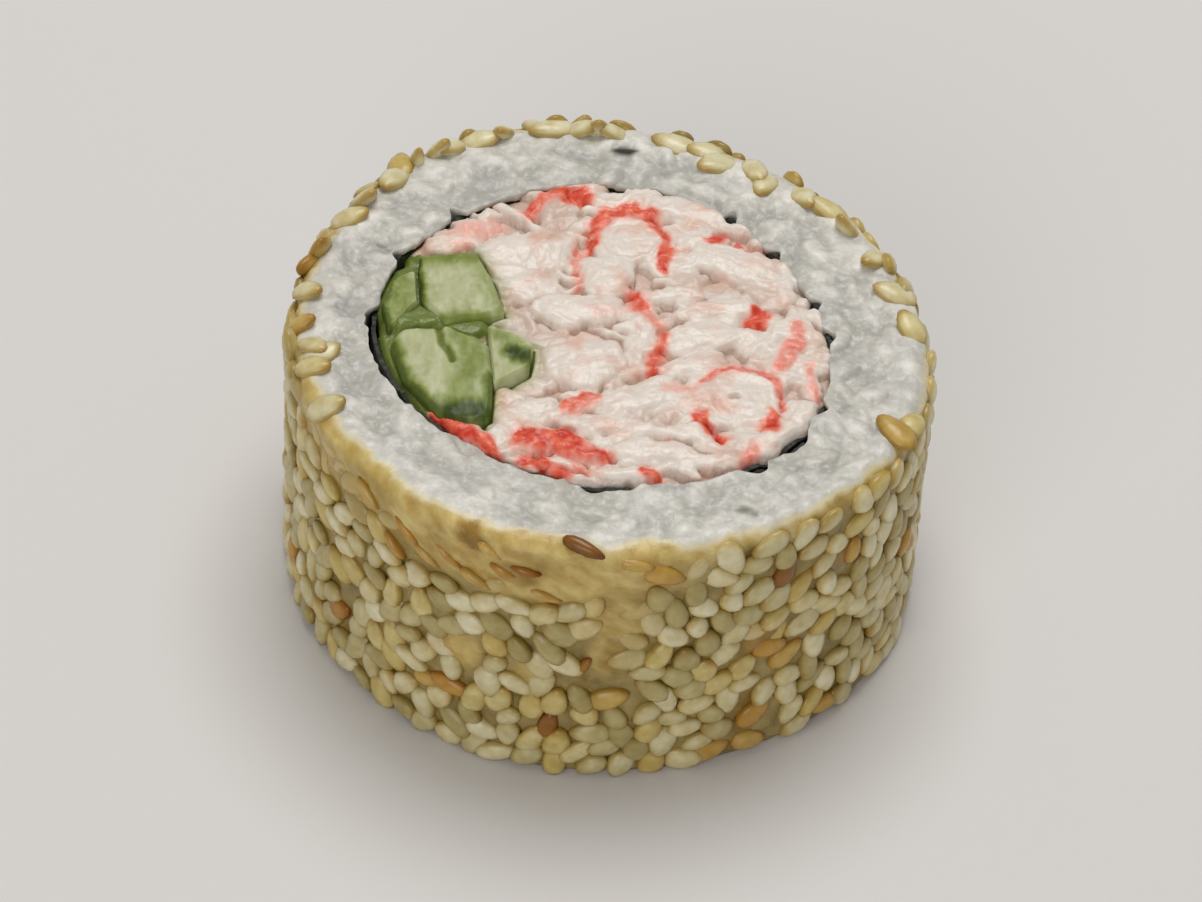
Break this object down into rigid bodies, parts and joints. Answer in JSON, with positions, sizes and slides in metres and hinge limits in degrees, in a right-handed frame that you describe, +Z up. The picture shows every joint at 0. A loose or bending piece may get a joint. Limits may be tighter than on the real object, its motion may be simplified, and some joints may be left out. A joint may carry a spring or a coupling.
{
  "type": "california roll slice",
  "caption": "Slice of an inside-out sushi roll: sesame-coated rice round a nori ring with shredded crab stick and cucumber batons.",
  "frame": {"origin": "centre of the cut face that the slice stands on", "axes": "+Z up along the roll's axis, out of the upper cut face; +X to the right and +Y away as the slice is seen, with the cucumber at -X"},
  "size_m": [0.0465, 0.0464, 0.0228],
  "materials": {
    "rice": "moist cooked rice",
    "sesame": "toasted seed coat, satin",
    "nori": "damp pressed seaweed",
    "crab_stick": "moist shredded crab stick",
    "cucumber": "wet cut flesh and peel"
  },
  "bodies": {
    "root": {"sesame_rice": "rice", "nori": "nori", "crab_filling": "crab_stick", "cucumber_upper": "cucumber", "cucumber_lower": "cucumber", "cucumber_left": "cucumber", "cucumber_right": "cucumber"}
  },
  "joints": []
}
